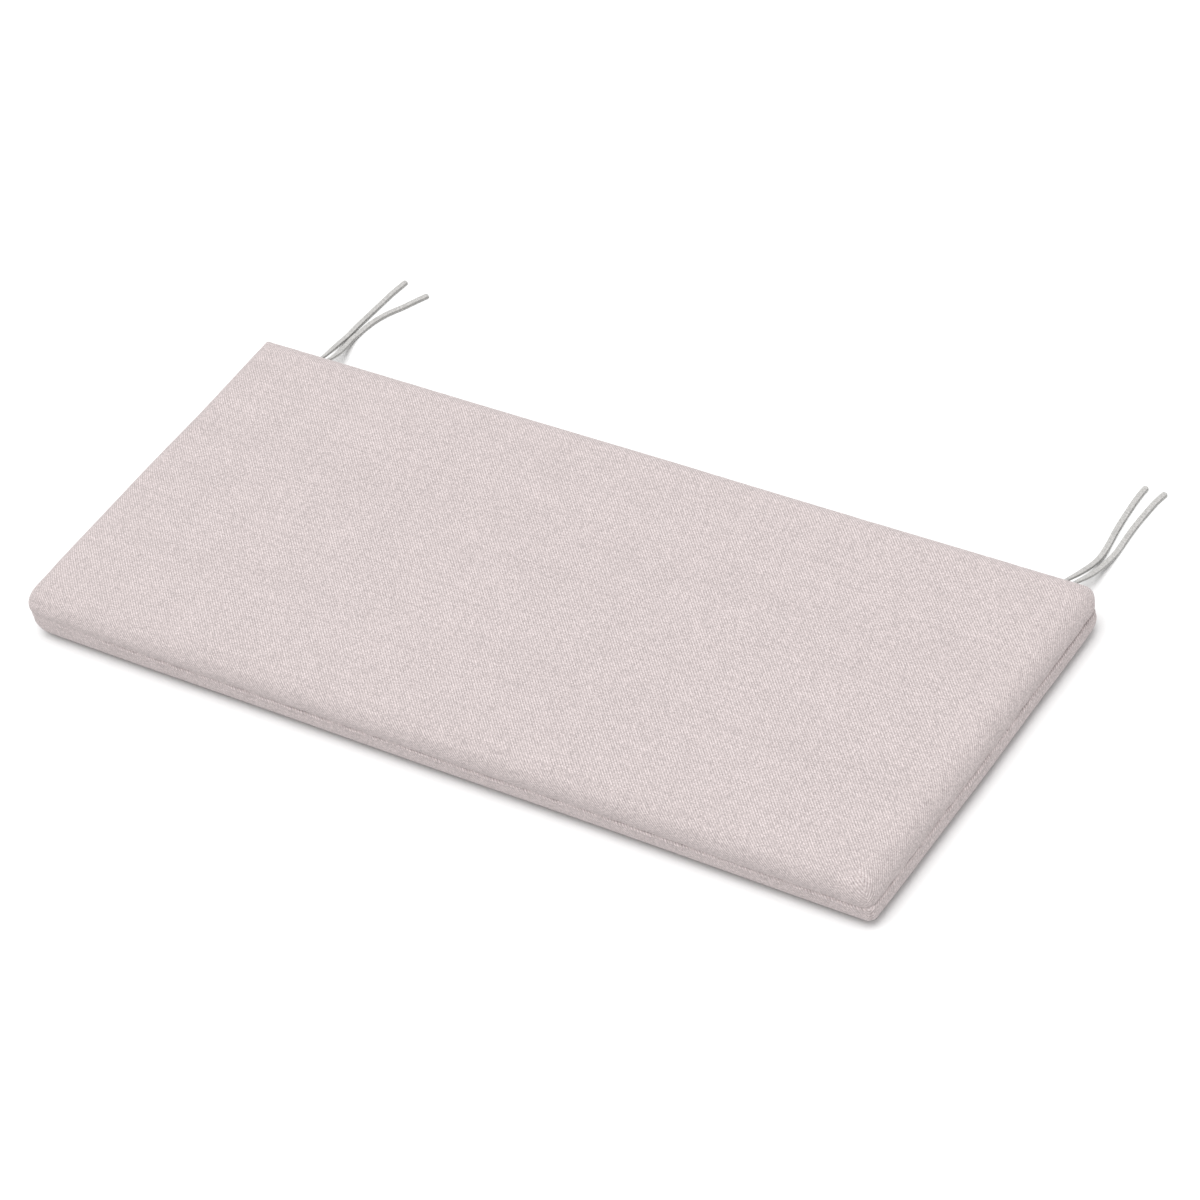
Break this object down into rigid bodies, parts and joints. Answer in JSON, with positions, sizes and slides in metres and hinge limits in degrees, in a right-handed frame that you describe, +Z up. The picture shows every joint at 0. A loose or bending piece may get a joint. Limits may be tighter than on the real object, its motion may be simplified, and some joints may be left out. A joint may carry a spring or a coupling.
{
  "type": "bench cushion",
  "caption": "Flat filled bench cushion in woven fabric, seamed round its sides, with folded fabric ties in the back seam for tying it to a bench.",
  "frame": {"origin": "centre of the cushion's footprint, on the surface it rests on", "axes": "+X along the long side, +Y towards the edge that carries the ties, +Z up through the thickness"},
  "size_m": [1.0824, 0.6486, 0.065],
  "materials": {
    "cover_fabric": "matt woven twill, pale pinkish beige with white flecks",
    "tie_fabric": "matt woven strip, pale grey beige"
  },
  "bodies": {
    "root": {"cushion": "cover_fabric", "tie_left_a": "tie_fabric", "tie_left_b": "tie_fabric", "tie_right_a": "tie_fabric", "tie_right_b": "tie_fabric"}
  },
  "joints": []
}
